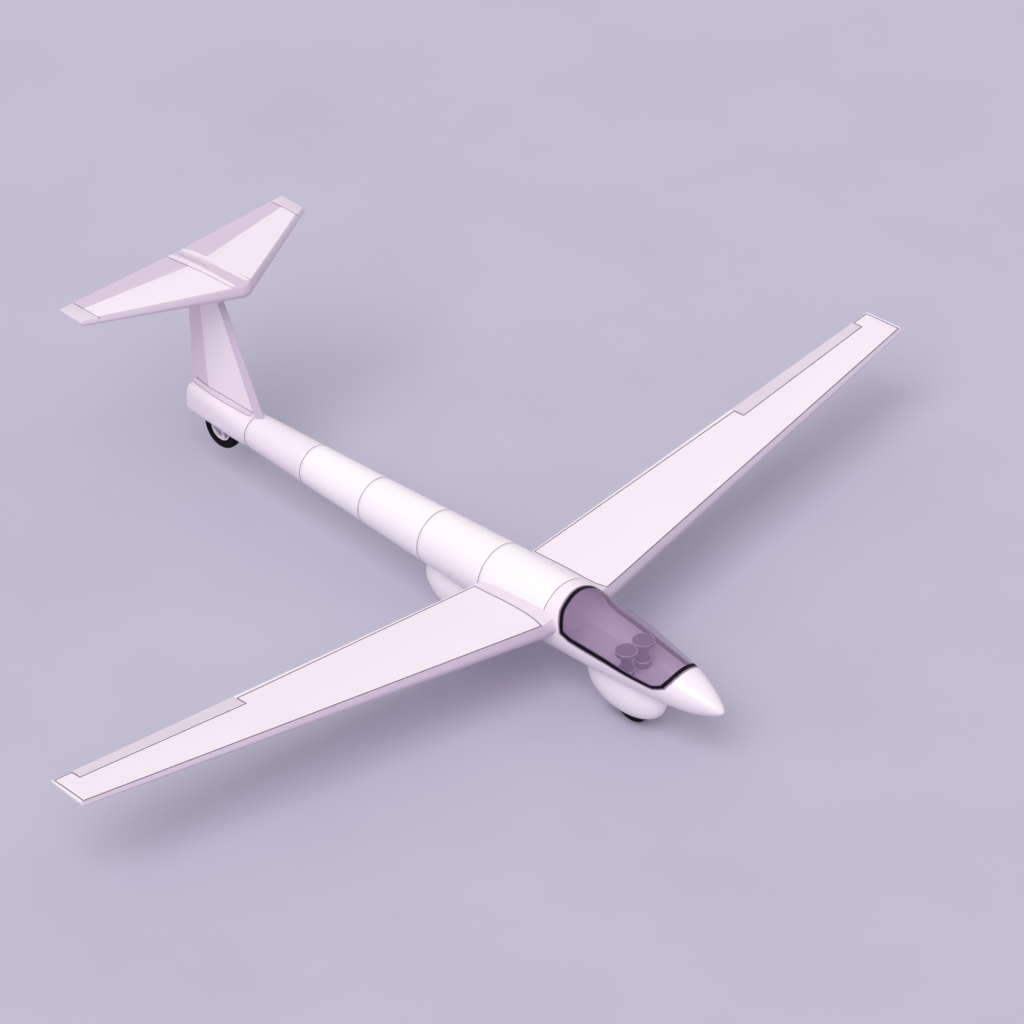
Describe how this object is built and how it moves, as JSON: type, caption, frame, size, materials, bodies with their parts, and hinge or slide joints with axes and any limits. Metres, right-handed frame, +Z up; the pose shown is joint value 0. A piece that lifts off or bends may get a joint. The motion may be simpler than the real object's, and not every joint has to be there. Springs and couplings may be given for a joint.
{
  "type": "sailplane glider",
  "caption": "Sailplane with long tapered wings, bubble canopy over a cockpit, T-tail, faired wheels in line under the fuselage and a small tail wheel.",
  "frame": {"origin": "on the floor under the middle of the bounding box", "axes": "+X to the port wing tip, -Y to the nose, +Z up; the port and starboard halves mirror about X = 0, apart from the canopy hinges on the port sill"},
  "size_m": [12.609, 8.605, 2.8157],
  "materials": {
    "gelcoat": "glossy white gelcoat with a faint lilac tint",
    "canopy_acrylic": "clear tinted acrylic",
    "canopy_frame_paint": "black satin composite",
    "tyre_rubber": "black tyre rubber",
    "wheel_paint": "pale painted cast wheel",
    "gear_steel": "plain steel",
    "cockpit_lining": "matt lilac-grey lining",
    "stool_vinyl": "dull lilac-grey vinyl"
  },
  "bodies": {
    "airframe": {"boom_1": "gelcoat", "boom_2": "gelcoat", "boom_3": "gelcoat", "boom_4": "gelcoat", "cockpit_floor": "cockpit_lining", "cockpit_tub": "gelcoat", "fin": "gelcoat", "fin_fairing": "gelcoat", "front_axle": "gear_steel", "front_wheel_pod": "gelcoat", "fuselage_centre": "gelcoat", "nose_cone": "gelcoat", "rear_axle": "gear_steel", "rear_wheel_pod": "gelcoat", "stool_port": "stool_vinyl", "stool_starboard": "stool_vinyl", "tail_axle": "gear_steel", "tail_block": "gelcoat", "tail_bracket_port": "gear_steel", "tail_bracket_starboard": "gear_steel", "tailplane_cap_port": "gelcoat", "tailplane_cap_starboard": "gelcoat", "tailplane_centre": "gelcoat", "tailplane_port": "gelcoat", "tailplane_starboard": "gelcoat", "wing_port": "gelcoat", "wing_root_port": "gelcoat", "wing_root_starboard": "gelcoat", "wing_starboard": "gelcoat"},
    "canopy": {"canopy_frame": "canopy_frame_paint", "canopy_glass": "canopy_acrylic"},
    "aileron_port": {"aileron_port": "gelcoat"},
    "aileron_starboard": {"aileron_starboard": "gelcoat"},
    "rudder": {"rudder": "gelcoat"},
    "elevator_port": {"elevator_port": "gelcoat"},
    "elevator_starboard": {"elevator_starboard": "gelcoat"},
    "front_wheel": {"front_tyre": "tyre_rubber", "front_wheel": "wheel_paint"},
    "rear_wheel": {"rear_tyre": "tyre_rubber", "rear_wheel": "wheel_paint"},
    "tail_wheel": {"tail_tyre": "tyre_rubber", "tail_wheel": "wheel_paint"}
  },
  "joints": [
    {"name": "canopy_hinge", "type": "hinge", "parent": "airframe", "child": "canopy", "pos_m": [0.39539, -2.52, 0.8966], "axis": [0.0756, 0.9932, 0.0881], "range_deg": [0, 85]},
    {"name": "aileron_port_hinge", "type": "hinge", "parent": "airframe", "child": "aileron_port", "pos_m": [3.847, -0.95488, 1.15921], "axis": [0.9955, 0.0777, 0.0545], "range_deg": [-20, 20]},
    {"name": "aileron_starboard_hinge", "type": "hinge", "parent": "airframe", "child": "aileron_starboard", "pos_m": [-3.847, -0.95488, 1.15921], "axis": [0.9955, -0.0777, -0.0545], "range_deg": [-20, 20]},
    {"name": "rudder_hinge", "type": "hinge", "parent": "airframe", "child": "rudder", "pos_m": [0, 3.75063, 1.196], "axis": [0, 0.1052, 0.9944], "range_deg": [-30, 30]},
    {"name": "elevator_port_hinge", "type": "hinge", "parent": "airframe", "child": "elevator_port", "pos_m": [0.138, 3.93117, 2.72343], "axis": [0.9894, 0.1449, -0.0116], "range_deg": [-20, 25]},
    {"name": "elevator_starboard_hinge", "type": "hinge", "parent": "airframe", "child": "elevator_starboard", "pos_m": [-0.138, 3.93117, 2.72343], "axis": [0.9894, -0.1449, 0.0116], "range_deg": [-20, 25]},
    {"name": "front_wheel_spin", "type": "hinge", "parent": "airframe", "child": "front_wheel", "pos_m": [0, -2.963, 0.26], "axis": [1, 0, 0], "continuous": true},
    {"name": "rear_wheel_spin", "type": "hinge", "parent": "airframe", "child": "rear_wheel", "pos_m": [0, -0.453, 0.26], "axis": [1, 0, 0], "continuous": true},
    {"name": "tail_wheel_spin", "type": "hinge", "parent": "airframe", "child": "tail_wheel", "pos_m": [0, 3.555, 0.697], "axis": [1, 0, 0], "continuous": true}
  ],
  "couplings": [
    {"joint": "aileron_starboard_hinge", "follows": "aileron_port_hinge", "ratio": -1},
    {"joint": "elevator_starboard_hinge", "follows": "elevator_port_hinge", "ratio": 1}
  ]
}
